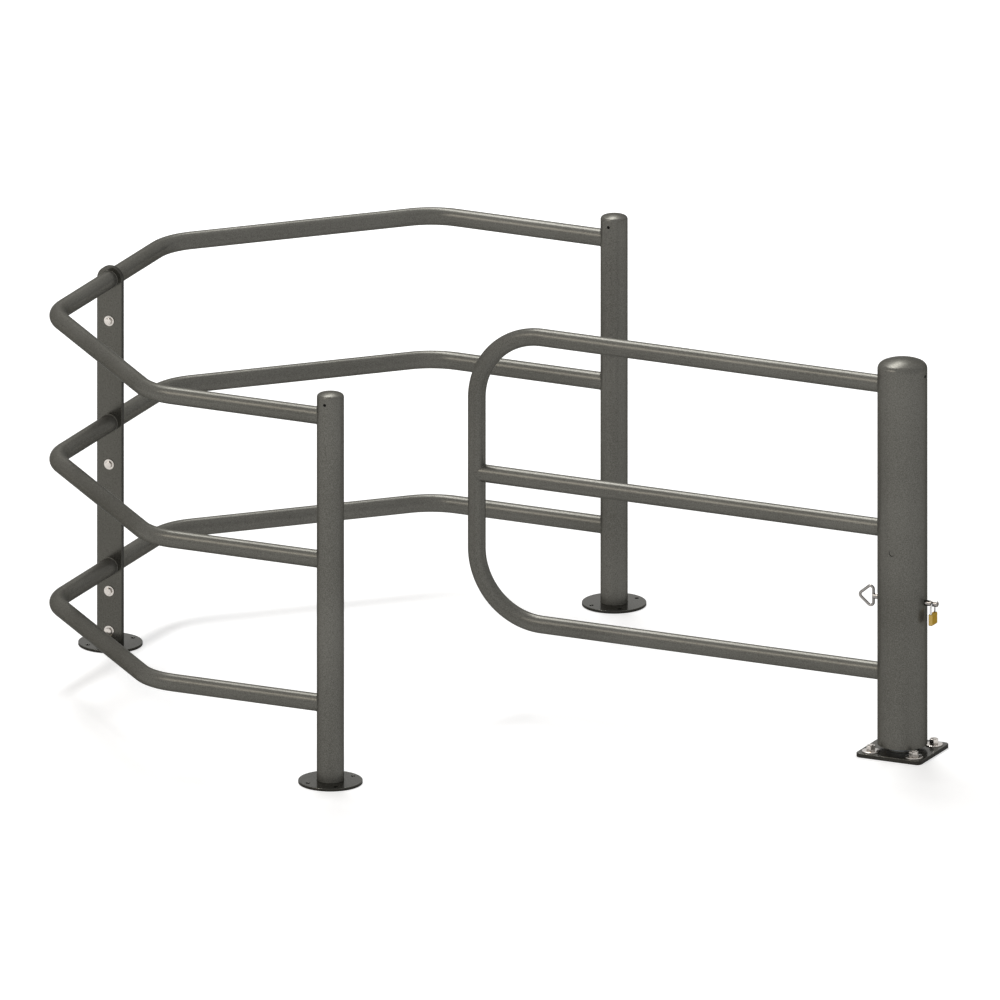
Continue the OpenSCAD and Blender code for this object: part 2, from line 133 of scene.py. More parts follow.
def blank_material(name):
    """An empty material: its tree and the object's own coordinates."""
    material = bpy.data.materials.new(name)
    material.use_nodes = True
    tree = material.node_tree
    tree.nodes.clear()
    place = node(tree, "ShaderNodeTexCoord").outputs["Object"]
    return material, tree, place


def finish_surface(tree, **inputs):
    """The shader that ends a material."""
    spaced = {key.replace("_", " "): value for key, value in inputs.items()}
    shader = node(tree, "ShaderNodeBsdfPrincipled", spaced)
    node(tree, "ShaderNodeOutputMaterial", {"Surface": shader.outputs["BSDF"]})


def grains(tree, place, size_mm, detail=2.0, rough=0.5):
    """A noise value whose blobs are about size_mm across."""
    noise = node(tree, "ShaderNodeTexNoise",
                 {"Vector": place, "Scale": 1 / (size_mm * MM), "Detail": detail, "Roughness": rough})
    return noise.outputs["Fac"]


def between(tree, share, one, other):
    """A colour between two hex colours, by a share from 0 to 1."""
    mixed = node(tree, "ShaderNodeMix", {0: share, 6: linear(one), 7: linear(other)}, data_type="RGBA")
    return mixed.outputs[2]


def maths(tree, operation, *values):
    """One step of arithmetic on values or other nodes' outputs."""
    return node(tree, "ShaderNodeMath", dict(enumerate(values)), operation=operation).outputs[0]


def spread(tree, share, low, high):
    """A share from 0 to 1, spread between two limits."""
    return node(tree, "ShaderNodeMapRange", {"Value": share, "To Min": low, "To Max": high}).outputs["Result"]


def bumps(tree, height, strength, depth):
    """A surface direction tilted by relief of this depth."""
    return node(tree, "ShaderNodeBump",
                {"Strength": strength, "Distance": depth, "Height": height}).outputs["Normal"]


def stretched(tree, place, scale):
    """Coordinates for a pattern drawn out along one direction."""
    return node(tree, "ShaderNodeMapping", {"Vector": place, "Scale": scale}).outputs["Vector"]


# ---- finishes ---------------------------------------------------------------


def powder_coat(name, dark, light, rough, relief, **gloss):
    """Metallic-effect powder coat in a warm anthracite, as used on street furniture: mica flakes in
    a polyester resin give a soft metal sheen. The grains are about 1 mm apart, drawn at 3 mm so that
    they show, and each one tilts and dulls the gloss. The coat's depth drifts a little over 300 mm."""
    material, tree, place = blank_material(name)
    speckle = grains(tree, place, 2.8, detail=4, rough=0.7)
    drift = maths(tree, "MULTIPLY", grains(tree, place, 300, detail=1), 0.25)
    share = node(tree, "ShaderNodeMapRange",
                 {"Value": maths(tree, "ADD", speckle, drift), "From Min": 0.48, "From Max": 0.77})
    dull = node(tree, "ShaderNodeMapRange", {"Value": speckle, "From Min": 0.3, "From Max": 0.7,
                                             "To Min": rough - 0.05, "To Max": rough + 0.05})
    finish_surface(tree, Base_Color=between(tree, share.outputs["Result"], dark, light),
                   Roughness=dull.outputs["Result"],
                   Normal=bumps(tree, grains(tree, place, 2.2), relief, 0.12 * MM), **gloss)
    return material


def coat_on_tube():
    """On tube the coat is thicker and rounder: satin, and darker where it curves away."""
    return powder_coat("anthracite_powder_coat_on_tube", "#575651", "#72716C", 0.32, 0.35,
                       Metallic=0.42, Specular_IOR_Level=0.0, Specular_Tint=linear("#909090"))


def coat_on_plate():
    """On flat plate the coat flows out smoother: it mirrors what stands on it at a flat angle."""
    return powder_coat("anthracite_powder_coat_on_plate", "#4A4944", "#5E5D58", 0.2, 0.1,
                       Metallic=0.75, Specular_IOR_Level=0.0, Specular_Tint=linear("#E0E0E0"))


def painted_shade_edge_coat():
    """On the cut edge of a plate the coat runs thin and dull. Its darker colour is painted shade, for the
    shaded sides of plates and the corner at a post's foot.
    """
    return powder_coat("anthracite_edge_coat_with_painted_shade", "#302F2C", "#42413D", 0.5, 0.2,
                       Metallic=0.3, Specular_IOR_Level=0.0)


def painted_shade_for_bores():
    """The wall of a drilled hole, painted near-black and matt: painted shade for the dark inside of the bore.
    """
    return powder_coat("bore_wall_painted_shade", "#0F0F0E", "#1B1B19", 0.7, 0.2,
                       Metallic=0.0, Specular_IOR_Level=0.0)


def zinc_plate():
    """Bright zinc plating on machined steel: a thin even coat, slightly cloudy, that mirrors softly."""
    material, tree, place = blank_material("bright_zinc_plate")
    cloud = grains(tree, place, 6, detail=3)
    finish_surface(tree, Base_Color=between(tree, cloud, "#ACA7A2", "#D2CDC7"), Metallic=1.0,
                   Roughness=spread(tree, cloud, 0.12, 0.26), Specular_Tint=linear("#E8E8E8"),
                   Normal=bumps(tree, grains(tree, place, 0.8), 0.2, 0.05 * MM))
    return material


def galvanised():
    """Hot-dip galvanised steel inside the gate post: dull grey zinc with crystals about 9 mm across."""
    material, tree, place = blank_material("hot_dip_galvanised_steel")
    crystals = node(tree, "ShaderNodeTexVoronoi", {"Vector": place, "Scale": 1 / (9 * MM)})
    spangle = crystals.outputs["Distance"]
    finish_surface(tree, Base_Color=between(tree, spangle, "#85898A", "#A6AAAA"), Metallic=1.0,
                   Roughness=spread(tree, spangle, 0.38, 0.55))
    return material


def stainless():
    """Drawn stainless bar, polished: fine lines along the bar, a clean mirror with soft edges."""
    material, tree, place = blank_material("polished_stainless_bar")
    lines = grains(tree, stretched(tree, place, (0.08, 1, 1)), 0.8)
    finish_surface(tree, Base_Color=linear("#8C8986"), Metallic=1.0,
                   Roughness=spread(tree, lines, 0.08, 0.15), Specular_Tint=linear("#000000"),
                   Normal=bumps(tree, lines, 0.15, 0.03 * MM))
    return material


def brass():
    """Solid brass, brushed upright: fine upright lines, a warm yellow with paler polished streaks."""
    material, tree, place = blank_material("brushed_brass")
    lines = grains(tree, stretched(tree, place, (1, 1, 0.04)), 0.7, detail=3)
    finish_surface(tree, Base_Color=between(tree, lines, "#927945", "#BDA35E"), Metallic=1.0,
                   Roughness=spread(tree, lines, 0.28, 0.42), Specular_Tint=linear("#404040"),
                   Normal=bumps(tree, lines, 0.25, 0.04 * MM))
    return material


def chrome():
    """Chrome plate on the hardened shackle: a clear mirror with hair-fine handling marks."""
    material, tree, place = blank_material("chrome_plate")
    marks = grains(tree, place, 1.5, detail=4, rough=0.7)
    finish_surface(tree, Base_Color=linear("#C4C4C4"), Metallic=1.0,
                   Roughness=spread(tree, marks, 0.05, 0.16), Specular_Tint=linear("#585858"))
    return material


def nylon():
    """Turned natural nylon: milky, matt, with faint turning rings about 1 mm apart."""
    material, tree, place = blank_material("natural_nylon")
    rings = grains(tree, stretched(tree, place, (0.02, 0.02, 1)), 1.0)
    finish_surface(tree, Base_Color=between(tree, rings, "#D2CCB8", "#E2DDCB"), Roughness=0.55, IOR=1.53,
                   Normal=bumps(tree, rings, 0.3, 0.05 * MM))
    return material


def shade_rubber():
    """Black rubber with a dull moulded skin. Its black, on the vent plugs, is painted shade for the dark
    inside of the vent holes.
    """
    material, tree, place = blank_material("black_rubber_painted_shade")
    skin = grains(tree, place, 1.0)
    finish_surface(tree, Base_Color=between(tree, skin, "#070707", "#10100F"), Roughness=0.8,
                   Specular_IOR_Level=0.05, Normal=bumps(tree, skin, 0.2, 0.05 * MM))
    return material


# The edge coat's darker colour is partly painted shade, and the bore coat is painted shade.
COAT, PLATE_COAT, EDGE_COAT_WITH_SHADE, BORE_SHADE_COAT = coat_on_tube(), coat_on_plate(), painted_shade_edge_coat(), painted_shade_for_bores()
ZINC, GALVANISED, STAINLESS, BRASS = zinc_plate(), galvanised(), stainless(), brass()
CHROME, NYLON, SHADE_RUBBER = chrome(), nylon(), shade_rubber()
FINISH_OF_SLOT = {"paint": COAT, "bright_steel": ZINC, "galvanised": GALVANISED, "nylon": NYLON,
                  "brass": BRASS, "chrome": CHROME}


# ---- floor and surround -----------------------------------------------------

FLOOR_RADIUS = 30
FLOOR_GAP = 0.2 * MM


def seen_share(tree):
    """1 for what the lens, a reflection or clear glass shows, and 0 for light on a matt surface."""
    path = node(tree, "ShaderNodeLightPath").outputs
    seen = maths(tree, "MAXIMUM", path["Is Camera Ray"], path["Is Glossy Ray"])
    return maths(tree, "MAXIMUM", seen, path["Is Transmission Ray"])


def floor_finish():
    """Pale studio floor, lifted to white for the lens and in reflections, that keeps a soft shadow.
    The lift grows away from the barrier, where the lamps reach less."""
    material, tree, place = blank_material("studio_floor")
    cloth = node(tree, "ShaderNodeBsdfDiffuse", {"Color": linear("#D8D8D8")})
    away = node(tree, "ShaderNodeVectorMath", {0: place}, operation="LENGTH")
    lift = node(tree, "ShaderNodeMapRange",
                {"Value": away.outputs["Value"], "From Min": 1.5, "From Max": 9.0,
                 "To Min": 0.58, "To Max": 1.0}, interpolation_type="SMOOTHSTEP")
    glow = node(tree, "ShaderNodeEmission", {"Color": linear("#FFFFFF"), "Strength": lift.outputs["Result"]})
    lifted = node(tree, "ShaderNodeAddShader", {0: cloth.outputs[0], 1: glow.outputs[0]})
    mixed = node(tree, "ShaderNodeMixShader",
                 {0: seen_share(tree), 1: cloth.outputs[0], 2: lifted.outputs[0]})
    node(tree, "ShaderNodeOutputMaterial", {"Surface": mixed.outputs[0]})
    return material


def lay_floor():
    """A round floor under the lamps, just below the flanges."""
    mesh = bpy.data.meshes.new("floor")
    shape = bmesh.new()
    bmesh.ops.create_circle(shape, cap_ends=True, segments=96, radius=FLOOR_RADIUS)
    shape.to_mesh(mesh)
    shape.free()
    floor = bpy.data.objects.new("floor", mesh)
    floor.location = (*LAMP_CENTRE[:2], cad_box[0].z - FLOOR_GAP)
    bpy.context.scene.collection.objects.link(floor)
    mesh.materials.append(floor_finish())


def light_world():
    """Even studio surround: white for the lens and in reflections, dimmer as light on matt surfaces."""
    world = bpy.data.worlds.new("studio")
    world.use_nodes = True
    tree = world.node_tree
    tree.nodes.clear()
    back = node(tree, "ShaderNodeBackground",
                {"Color": linear("#FFFFFF"), "Strength": spread(tree, seen_share(tree), 0.2, 1.0)})
    node(tree, "ShaderNodeOutputWorld", {"Surface": back.outputs[0]})
    bpy.context.scene.world = world


# ---- shapes -----------------------------------------------------------------


def hang(name, mesh, body, replaced=(), crease=35):
    """Shows a finished mesh on its body, smooth but for its edges, in place of the nodes it replaces."""
    mesh.shade_smooth()
    mesh.set_sharp_from_angle(angle=radians(crease))
    piece = bpy.data.objects.new(name, mesh)
    bpy.context.scene.collection.objects.link(piece)
    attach(piece, body)
    if replaced:
        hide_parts(*replaced)
    return piece


def settled(thing, name):
    """The evaluated shape of a thing as a plain mesh; the thing itself is taken away."""
    bpy.context.view_layer.update()
    graph = bpy.context.evaluated_depsgraph_get()
    mesh = bpy.data.meshes.new_from_object(thing.evaluated_get(graph), depsgraph=graph)
    mesh.name = name
    bpy.data.objects.remove(thing)
    return mesh


def line_mesh(name, points, closed=False):
    """Straight edges from point to point."""
    mesh = bpy.data.meshes.new(name)
    count = len(points)
    edges = [(i, (i + 1) % count) for i in range(count if closed else count - 1)]
    mesh.from_pydata([tuple(p) for p in points], edges, [])
    return mesh


def points_mesh(name, points):
    """Loose points, where a repeated part goes."""
    mesh = bpy.data.meshes.new(name)
    mesh.from_pydata([tuple(p) for p in points], [], [])
    return mesh


def open_tree(name, **sizes):
    """A tree of geometry nodes that takes a geometry, a finish and the named sizes."""
    tree = bpy.data.node_groups.new(name, "GeometryNodeTree")
    tree.interface.new_socket("Geometry", in_out="OUTPUT", socket_type="NodeSocketGeometry")
    tree.interface.new_socket("Geometry", in_out="INPUT", socket_type="NodeSocketGeometry")
    tree.interface.new_socket("Finish", in_out="INPUT", socket_type="NodeSocketMaterial")
    for size, kind in sizes.items():
        tree.interface.new_socket(size.replace("_", " "), in_out="INPUT", socket_type=f"NodeSocket{kind}")
    return tree, node(tree, "NodeGroupInput").outputs


def close_tree(tree, geometry, finish):
    """Ends a tree: real geometry with its finish."""
    real = node(tree, "GeometryNodeRealizeInstances", {"Geometry": geometry})
    dressed = node(tree, "GeometryNodeSetMaterial", {"Geometry": real.outputs[0], "Material": finish})
    node(tree, "NodeGroupOutput", {"Geometry": dressed.outputs[0]})
    return tree


def run_tree(tree, name, mesh, finish, **sizes):
    """The plain mesh that a tree makes of a mesh with these sizes."""
    thing = bpy.data.objects.new(name, mesh)
    bpy.context.scene.collection.objects.link(thing)
    modifier = thing.modifiers.new("shape", "NODES")
    modifier.node_group = tree
    given = {key.replace("_", " "): value for key, value in sizes.items()} | {"Finish": finish}
    for socket in tree.interface.items_tree:
        if socket.in_out == "INPUT" and socket.name in given:
            modifier[socket.identifier] = given[socket.name]
    return settled(thing, name)


def bent_tube_tree():
    """Round tube along a line of straight edges, with every corner bent to one radius."""
    tree, given = open_tree("bent_tube", Diameter="Float", Bend_radius="Float", Bend_steps="Int")
    line = node(tree, "GeometryNodeMeshToCurve", {"Mesh": given["Geometry"]})
    bent = node(tree, "GeometryNodeFilletCurve",
                {"Curve": line.outputs[0], "Count": given["Bend steps"], "Radius": given["Bend radius"]},
                mode="POLY")
    ring = node(tree, "GeometryNodeCurvePrimitiveCircle",
                {"Resolution": 48, "Radius": maths(tree, "MULTIPLY", given["Diameter"], 0.5)})
    tube = node(tree, "GeometryNodeCurveToMesh",
                {"Curve": bent.outputs[0], "Profile Curve": ring.outputs[0], "Fill Caps": True})
    return close_tree(tree, tube.outputs[0], given["Finish"])


def weld_tree():
    """Weld bead round every point, where a round tube along local Z stands on a round post along
    local X. The post's radius is very large for a flat plate. Ripples follow the welder's stops."""
    tree, given = open_tree("weld_bead", Tube_radius="Float", Post_radius="Float", Bead="Float",
                            Ripple_pitch="Float", Facing="Rotation")
    ring = node(tree, "GeometryNodeCurvePrimitiveCircle", {"Resolution": 240, "Radius": given["Tube radius"]})
    across = node(tree, "ShaderNodeSeparateXYZ", {0: node(tree, "GeometryNodeInputPosition").outputs[0]})
    left_over = maths(tree, "SUBTRACT", maths(tree, "POWER", given["Post radius"], 2.0),
                      maths(tree, "POWER", across.outputs["Y"], 2.0))
    drop = maths(tree, "SUBTRACT", maths(tree, "SQRT", left_over), given["Post radius"])
    shift = node(tree, "ShaderNodeCombineXYZ", {"Z": drop})
    saddle = node(tree, "GeometryNodeSetPosition", {"Geometry": ring.outputs[0], "Offset": shift.outputs[0]})
    along = node(tree, "GeometryNodeSplineParameter").outputs["Length"]
    stop = maths(tree, "FRACT", maths(tree, "DIVIDE", along, given["Ripple pitch"]))
    bead = node(tree, "GeometryNodeCurvePrimitiveCircle", {"Resolution": 10, "Radius": given["Bead"]})
    rope = node(tree, "GeometryNodeCurveToMesh",
                {"Curve": saddle.outputs[0], "Profile Curve": bead.outputs[0],
                 "Scale": spread(tree, stop, 0.86, 1.06)})
    placed = node(tree, "GeometryNodeInstanceOnPoints",
                  {"Points": given["Geometry"], "Instance": rope.outputs[0],
                   "Rotation": given["Facing"]})
    return close_tree(tree, placed.outputs[0], given["Finish"])


# The chamfer circle of a nut or bolt head: its radius as a share of the width across flats.
CHAMFER = 0.485


def circle(radius, height):
    """A round ring for lathe()."""
    return lambda angle: (radius, height)


def hexagon(flats, height, shave=0):
    """A six-sided ring for lathe(). Its corners are shaved off by a 30 degree cone: 1 above, -1 below."""
    def ring(angle):
        radius = flats / 2 / cos((angle + pi / 6) % (pi / 3) - pi / 6)
        return radius, height - shave * (radius - CHAMFER * flats) * tan(pi / 6)
    return ring


def screw_thread(radius, pitch, foot, tip):
    """Rings for lathe() that follow a screw thread from foot to tip, with a bevelled first turn."""
    depth = 0.55 * pitch
    rings_a_turn = 8
    count = round((tip - foot) / pitch * rings_a_turn)

    def ring(height):
        def at(angle):
            phase = (height / pitch - angle / (2 * pi)) % 1
            cut = radius - depth * (1 - abs(2 * phase - 1))
            return min(cut, radius - depth + (tip - height)), height
        return at
    return [ring(foot + (tip - foot) * i / count) for i in range(count + 1)]


def lathe(name, rings, finish, hollow=False, steps=48):
    """A part turned or milled about the Z axis. Each ring gives a radius and a height for every angle.
    The ends close with a flat face, or the last ring joins the first where the part is hollow."""
    shape = bmesh.new()
    angles = [2 * pi * i / steps for i in range(steps)]
    loops = [[shape.verts.new((r * cos(t), r * sin(t), z)) for t in angles for r, z in [ring(t)]]
             for ring in rings]
    for one, other in zip(loops, loops[1:] + loops[:1] if hollow else loops[1:]):
        for i in range(steps):
            shape.faces.new((one[i], one[(i + 1) % steps], other[(i + 1) % steps], other[i]))
    if not hollow:
        shape.faces.new(loops[0])
        shape.faces.new(loops[-1])
    bmesh.ops.recalc_face_normals(shape, faces=shape.faces)
    mesh = bpy.data.meshes.new(name)
    shape.to_mesh(mesh)
    shape.free()
    mesh.materials.append(finish)
    return mesh


def repeat_tree():
    """The same part at every point. Facing turns its Z axis, and each one stops at its own angle."""
    tree, given = open_tree("repeated_part", Part="Object", Facing="Rotation", Seed="Int")
    part = node(tree, "GeometryNodeObjectInfo", {"Object": given["Part"]}, transform_space="ORIGINAL")
    spin = node(tree, "FunctionNodeRandomValue", {"Seed": given["Seed"]}, data_type="FLOAT")
    about = node(tree, "ShaderNodeCombineXYZ", {"Z": maths(tree, "MULTIPLY", spin.outputs[1], 2 * pi)})
    placed = node(tree, "GeometryNodeInstanceOnPoints",
                  {"Points": given["Geometry"], "Instance": part.outputs["Geometry"],
                   "Rotation": given["Facing"]})
    turned = node(tree, "GeometryNodeRotateInstances",
                  {"Instances": placed.outputs[0], "Rotation": about.outputs[0]})
    return close_tree(tree, turned.outputs[0], given["Finish"])


# How upright a face's direction may be, from 0 to 1, for it to count as a bore's or a cut edge's.
# Bores get painted shade, and cut edges the darker edge coat, which is partly painted shade.
BORE_SHADE_TILT = 0.95
EDGE_SHADE_TILT = 0.3


def sheet_plate(name, rim, holes, thickness, edge):
    """A coated plate cut from sheet: a rim, round holes, each an x, y and radius, and every edge
    rounded by the coat. It lies on Z = 0. The cut side of the rim gets the darker edge coat, partly
    painted shade, and the bores get a near-black coat that is painted shade."""
    outline = bpy.data.curves.new(name, "CURVE")
    outline.dimensions, outline.fill_mode = "2D", "BOTH"
    outline.extrude, outline.bevel_depth = thickness / 2 - edge, edge
    outline.bevel_resolution, outline.offset = 3, -edge
    for loop in [rim, *(arc(*hole, steps=32) for hole in holes)]:
        spline = outline.splines.new("POLY")
        spline.points.add(len(loop) - 1)
        for point, (x, y) in zip(spline.points, loop):
            point.co = (x, y, 0, 1)
        spline.use_cyclic_u = True
    thing = bpy.data.objects.new(name, outline)
    bpy.context.scene.collection.objects.link(thing)
    mesh = settled(thing, name)
    mesh.transform(Matrix.Translation((0, 0, thickness / 2)))
    mesh.materials.clear()
    for finish in (PLATE_COAT, EDGE_COAT_WITH_SHADE, BORE_SHADE_COAT):
        mesh.materials.append(finish)
    on_face, on_edge_shaded, in_bore_shaded = range(3)
    for face in mesh.polygons:
        upright = abs(face.normal.z)
        near_hole = any((face.center.xy - Vector((x, y))).length < r + 2 * edge for x, y, r in holes)
        # Bores get the painted shade coat, and cut sides the darker edge coat, which is partly painted shade.
        shaded_bore = upright < BORE_SHADE_TILT and near_hole
        face.material_index = in_bore_shaded if shaded_bore else on_edge_shaded if upright < EDGE_SHADE_TILT else on_face
    return mesh


def arc(x, y, radius, start=0, end=360, steps=96):
    """Points on an arc, in degrees; a full circle doesn't repeat its first point."""
    last = steps if end - start < 360 else steps - 1
    return [(x + radius * cos(radians(start + (end - start) * i / steps)),
             y + radius * sin(radians(start + (end - start) * i / steps))) for i in range(last + 1)]


def middle(*names):
    """The middle and the half size of the box round these nodes."""
    boxes = [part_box(n) for n in names]
    low = Vector(min(b[0][i] for b in boxes) for i in range(3))
    high = Vector(max(b[1][i] for b in boxes) for i in range(3))
    return (low + high) / 2, (high - low) / 2


# ---- the barrier's own pieces -------------------------------------------------

SIDES = (("left", -1), ("right", 1))
LEVELS = ("low", "mid", "top")

# Tubes: their diameter, the run of the 45 degree side, the bends, and how far a rail runs
# in behind a post's skin. The hoop stands back from its box by the play.
RAIL = 50 * MM
SLANT = 558 * MM
SIDE_BEND = 170 * MM
LEAF_CORNER = 200 * MM
SKIN_LAP = 2 * MM
PLAY = 0.1 * MM

# Plates: edge roundings, corners, and the holes' half spacings and radii.
COAT_EDGE = 1.0 * MM
BAR_EDGE = 0.7 * MM
FLANGE_HOLES_X, FLANGE_HOLES_Y, FLANGE_HOLE = 43 * MM, 57 * MM, 5.5 * MM
FOOT_CORNER = 15 * MM
ANCHORS, ANCHOR_HOLE = 66 * MM, 9 * MM
JOINT_HOLE = 6.5 * MM

# Weld beads: their radii, the ripple, and a post so large that it counts as a flat plate.
WELD = 1.3 * MM
FOOT_WELD = 0.9 * MM
PIVOT_WELD = 2.5 * MM
RIPPLE = 2.6 * MM
FLAT = 1000.0

# How far below a cap's rim the vent holes lie.
VENT_DROP = 15 * MM


def hoop_line():
    """Where the middle of the leaf's upright far side lies along X."""
    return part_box("leaf_hoop")[0].x + RAIL / 2 + PLAY


def in_skin(post, half):
    """How far along X a rail starts, so that its whole end lies inside a round post's skin."""
    return post.x - sqrt(half.x**2 - (RAIL / 2) ** 2) + SKIN_LAP


def enclosure_rails(tubes):
    """Six bent half rails, each from inside its end post's wall to its joint plate."""
    for side, turn in SIDES:
        post, post_half = middle(f"end_post_{side}")
        plate, plate_half = middle(f"joint_plate_{side}")
        corner = abs(post.y) - SLANT
        start = in_skin(post, post_half)
        for level in LEVELS:
            z = middle(f"rail_{level}_{side}")[0].z
            path = [(start, post.y, z), (plate.x + SLANT, post.y, z),
                    (plate.x, turn * corner, z), (plate.x, turn * plate_half.y * 2, z)]
            mesh = run_tree(tubes, f"rail_{level}_{side}_tube", line_mesh("path", path), COAT,
                            Diameter=RAIL, Bend_radius=SIDE_BEND, Bend_steps=16)
            hang(f"rail_{level}_{side}_tube", mesh, "fixed_frame", [f"rail_{level}_{side}"])


def leaf_rails(tubes):
    """The leaf's outer hoop and its middle rail, run in through the sleeve's skin."""
    hoop, hoop_half = middle("leaf_hoop")
    skin = in_skin(*middle("swing_sleeve"))
    far = hoop_line()
    low, high = hoop.z - hoop_half.z + RAIL / 2, hoop.z + hoop_half.z - RAIL / 2
    mesh = run_tree(tubes, "leaf_hoop_tube",
                    line_mesh("path", [(skin, 0, low), (far, 0, low), (far, 0, high), (skin, 0, high)]),
                    COAT, Diameter=RAIL, Bend_radius=LEAF_CORNER, Bend_steps=28)
    hang("leaf_hoop_tube", mesh, "leaf", ["leaf_hoop"])
    z = middle("leaf_mid_rail")[0].z
    mesh = run_tree(tubes, "leaf_mid_rail_tube", line_mesh("path", [(skin, 0, z), (far + SKIN_LAP, 0, z)]),
                    COAT, Diameter=RAIL, Bend_radius=0.0, Bend_steps=1)
    hang("leaf_mid_rail_tube", mesh, "leaf", ["leaf_mid_rail"])


def flanges():
    """Three round flanges, each with four anchor holes in a rectangle."""
    holes = [(x * FLANGE_HOLES_X, y * FLANGE_HOLES_Y, FLANGE_HOLE) for x in (-1, 1) for y in (-1, 1)]
    for name in ("flange_left", "flange_right", "flange_centre"):
        centre, half = middle(name)
        mesh = sheet_plate(f"{name}_disc", arc(0, 0, half.x, steps=160), holes, 2 * half.z, COAT_EDGE)
        mesh.transform(Matrix.Translation((centre.x, centre.y, 0)))
        hang(f"{name}_disc", mesh, "fixed_frame", [name])


def base_square():
    """The gate post's square foot with its rounded corners and four anchor holes."""
    half = middle("base_plate")[1]
    reach = half.x - FOOT_CORNER
    rim = [p for k, (x, y) in enumerate(((1, 1), (-1, 1), (-1, -1), (1, -1)))
           for p in arc(x * reach, y * reach, FOOT_CORNER, 90 * k, 90 * k + 90, steps=12)]
    holes = [(x * ANCHORS, y * ANCHORS, ANCHOR_HOLE) for x in (-1, 1) for y in (-1, 1)]
    mesh = sheet_plate("base_plate_square", rim, holes, 2 * half.z, COAT_EDGE)
    hang("base_plate_square", mesh, "fixed_frame", ["base_plate"])


def joint_bars():
    """Two flat bars, back to back, with rounded tops round the top rail and four bolt holes."""
    holes = [(0, z, JOINT_HOLE) for z in joint_levels()]
    for side, _ in SIDES:
        centre, half = middle(f"joint_plate_{side}")
        top = centre.z + half.z - half.x
        foot = centre.z - half.z
        rim = [(-half.x, foot), (half.x, foot), *arc(0, top, half.x, 0, 180, steps=64)]
        mesh = sheet_plate(f"joint_plate_{side}_bar", rim, holes, 2 * half.y, BAR_EDGE)
        face = Matrix.Translation((centre.x, max(0, centre.y + half.y), 0))
        mesh.transform(face @ Matrix.Rotation(pi / 2, 4, "X"))
        hang(f"joint_plate_{side}_bar", mesh, "fixed_frame", [f"joint_plate_{side}"])


def joint_levels():
    """Heights of the joint bolts, read from the middles of their washers."""
    apart = 20 * MM
    heights = sorted(v.co.z for v in frame["nodes"]["joint_washers"].data.vertices)
    groups = [[heights[0]]]
    for z in heights[1:]:
        if z - groups[-1][-1] > apart:
            groups.append([])
        groups[-1].append(z)
    return [(g[0] + g[-1]) / 2 for g in groups]


def welds(beads):
    """Beads where rails meet posts, plates and sleeve, and where posts stand on their feet."""
    heights = [middle(f"rail_{level}_left")[0].z for level in LEVELS]
    along_x = (0, -pi / 2, 0)

    def run(name, body, places, tube, post, facing, bead=WELD, finish=COAT):
        mesh = run_tree(beads, name, points_mesh("places", places), finish, Tube_radius=tube,
                        Post_radius=post, Bead=bead, Ripple_pitch=RIPPLE, Facing=facing)
        hang(name, mesh, body, crease=60)

    for side, turn in SIDES:
        post, half = middle(f"end_post_{side}")
        run(f"weld_rails_to_{side}_post", "fixed_frame", [(post.x - half.x, post.y, z) for z in heights],
            RAIL / 2, half.x, along_x)
        plate, plate_half = middle(f"joint_plate_{side}")
        run(f"weld_rails_to_{side}_plate", "fixed_frame",
            [(plate.x, turn * plate_half.y * 2, z) for z in heights], RAIL / 2, FLAT, (-turn * pi / 2, 0, 0))
        # The foot beads take the darker edge coat: painted shade in the corner where the post stands on its
        # flange.
        run(f"weld_{side}_post_foot", "fixed_frame", [(post.x, post.y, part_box(f"flange_{side}")[1].z)],
            half.x, FLAT, (0, 0, 0), FOOT_WELD, EDGE_COAT_WITH_SHADE)
    run("weld_pivot_foot", "fixed_frame", [(0, 0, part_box("base_plate")[1].z)],
        middle("pivot_cap")[1].x, FLAT, (0, 0, 0), PIVOT_WELD)
    sleeve = middle("swing_sleeve")[1].x
    run("weld_rails_to_sleeve", "leaf", [(-sleeve, 0, z) for z in heights], RAIL / 2, sleeve, along_x)
    run("weld_mid_rail_to_hoop", "leaf", [(hoop_line() + RAIL / 2, 0, heights[1])],
        RAIL / 2, RAIL / 2 + PLAY, (0, pi / 2, 0))


